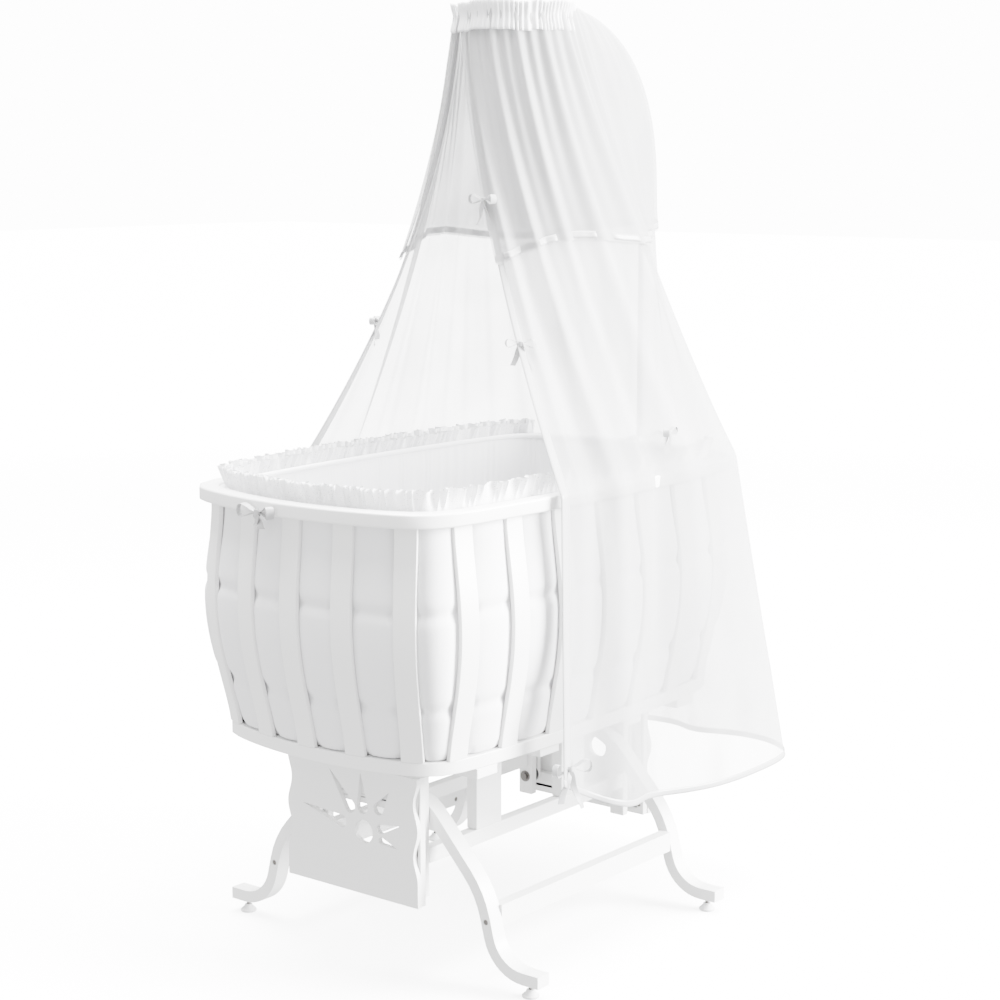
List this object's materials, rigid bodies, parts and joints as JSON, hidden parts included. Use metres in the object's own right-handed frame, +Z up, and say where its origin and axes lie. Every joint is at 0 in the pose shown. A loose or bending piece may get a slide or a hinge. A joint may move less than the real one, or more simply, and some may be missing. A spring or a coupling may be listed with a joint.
{
  "type": "baby crib",
  "caption": "White slatted oval-cornered basket crib on a curved-leg stand with swing links, levelling feet, padded liner and a tall canopy net hung from a pole and hoop.",
  "frame": {"origin": "on the floor, under the middle of the whole crib with its net", "axes": "+X from the basket's foot end towards the head end with the canopy pole, +Y across the crib to its back, +Z up"},
  "size_m": [1.1266, 0.7608, 1.712],
  "materials": {
    "white lacquered wood": "satin white lacquer",
    "white tube": "white powder coat",
    "white plastic": "satin",
    "black rubber": "matt",
    "dark steel": "oiled",
    "white cotton": "soft, padded",
    "sheer net": "sheer"
  },
  "bodies": {
    "stand": {"leg_foot_front": "white lacquered wood", "leg_foot_back": "white lacquered wood", "leg_head_front": "white lacquered wood", "leg_head_back": "white lacquered wood", "crown_block_foot": "white lacquered wood", "crown_block_head": "white lacquered wood", "end_frame_foot": "white lacquered wood", "end_frame_head": "white lacquered wood", "panel_foot": "white lacquered wood", "panel_head": "white lacquered wood", "stretcher_front": "white lacquered wood", "stretcher_back": "white lacquered wood", "leg_bolts": "dark steel", "cross_dowels": "dark steel", "panel_screws": "dark steel", "thread_inserts": "dark steel", "upper_pins": "dark steel"},
    "link_foot_front": {"link_foot_front": "white lacquered wood"},
    "leveller_foot_front": {"leveller_stem_foot_front": "dark steel", "leveller_pad_foot_front": "white plastic"},
    "link_foot_back": {"link_foot_back": "white lacquered wood"},
    "leveller_foot_back": {"leveller_stem_foot_back": "dark steel", "leveller_pad_foot_back": "white plastic"},
    "link_head_front": {"link_head_front": "white lacquered wood"},
    "leveller_head_front": {"leveller_stem_head_front": "dark steel", "leveller_pad_head_front": "white plastic"},
    "link_head_back": {"link_head_back": "white lacquered wood"},
    "leveller_head_back": {"leveller_stem_head_back": "dark steel", "leveller_pad_head_back": "white plastic"},
    "basket": {"top_rim": "white lacquered wood", "base_ring": "white lacquered wood", "slats_front": "white lacquered wood", "slats_back": "white lacquered wood", "slats_foot": "white lacquered wood", "slats_head": "white lacquered wood", "bed_board": "white lacquered wood", "bearers": "white lacquered wood", "under_rail_front": "white lacquered wood", "under_rail_back": "white lacquered wood", "rail_posts": "white lacquered wood", "hangers_foot": "white lacquered wood", "hangers_head": "white lacquered wood", "lower_pins": "dark steel", "pin_washers": "dark steel", "spacer_bushes": "black rubber", "mattress": "white cotton", "padded_liner": "white cotton", "gathered_bumper": "white cotton", "ruffle": "white cotton", "rim_bow": "white cotton", "pole_clamps": "white plastic", "clamp_screws": "dark steel", "pole_lower": "white tube", "pole_upper": "white tube", "hoop": "white tube", "net_front": "sheer net", "net_back": "sheer net", "net_head": "sheer net", "net_hood": "sheer net"}
  },
  "joints": [
    {"name": "swing_foot_front", "type": "hinge", "parent": "stand", "child": "link_foot_front", "pos_m": [-0.35925, -0.115, 0.322], "axis": [1, 0, 0], "range_deg": [-12, 12]},
    {"name": "swing_foot_back", "type": "hinge", "parent": "stand", "child": "link_foot_back", "pos_m": [-0.35925, 0.115, 0.322], "axis": [1, 0, 0], "range_deg": [-12, 12]},
    {"name": "swing_head_front", "type": "hinge", "parent": "stand", "child": "link_head_front", "pos_m": [0.29375, -0.115, 0.322], "axis": [1, 0, 0], "range_deg": [-12, 12]},
    {"name": "swing_head_back", "type": "hinge", "parent": "stand", "child": "link_head_back", "pos_m": [0.29375, 0.115, 0.322], "axis": [1, 0, 0], "range_deg": [-12, 12]},
    {"name": "basket_hang", "type": "hinge", "parent": "link_head_front", "child": "basket", "pos_m": [0.29375, -0.115, 0.178], "axis": [1, 0, 0], "range_deg": [-12, 12]},
    {"name": "level_foot_front", "type": "slide", "parent": "stand", "child": "leveller_foot_front", "axis": [0, 0, -1], "range_m": [0, 0.008]},
    {"name": "level_foot_back", "type": "slide", "parent": "stand", "child": "leveller_foot_back", "axis": [0, 0, -1], "range_m": [0, 0.008]},
    {"name": "level_head_front", "type": "slide", "parent": "stand", "child": "leveller_head_front", "axis": [0, 0, -1], "range_m": [0, 0.008]},
    {"name": "level_head_back", "type": "slide", "parent": "stand", "child": "leveller_head_back", "axis": [0, 0, -1], "range_m": [0, 0.008]}
  ],
  "couplings": [
    {"joint": "swing_foot_front", "follows": "swing_head_front", "ratio": 1},
    {"joint": "swing_foot_back", "follows": "swing_head_front", "ratio": 1},
    {"joint": "swing_head_back", "follows": "swing_head_front", "ratio": 1},
    {"joint": "basket_hang", "follows": "swing_head_front", "ratio": -1}
  ]
}
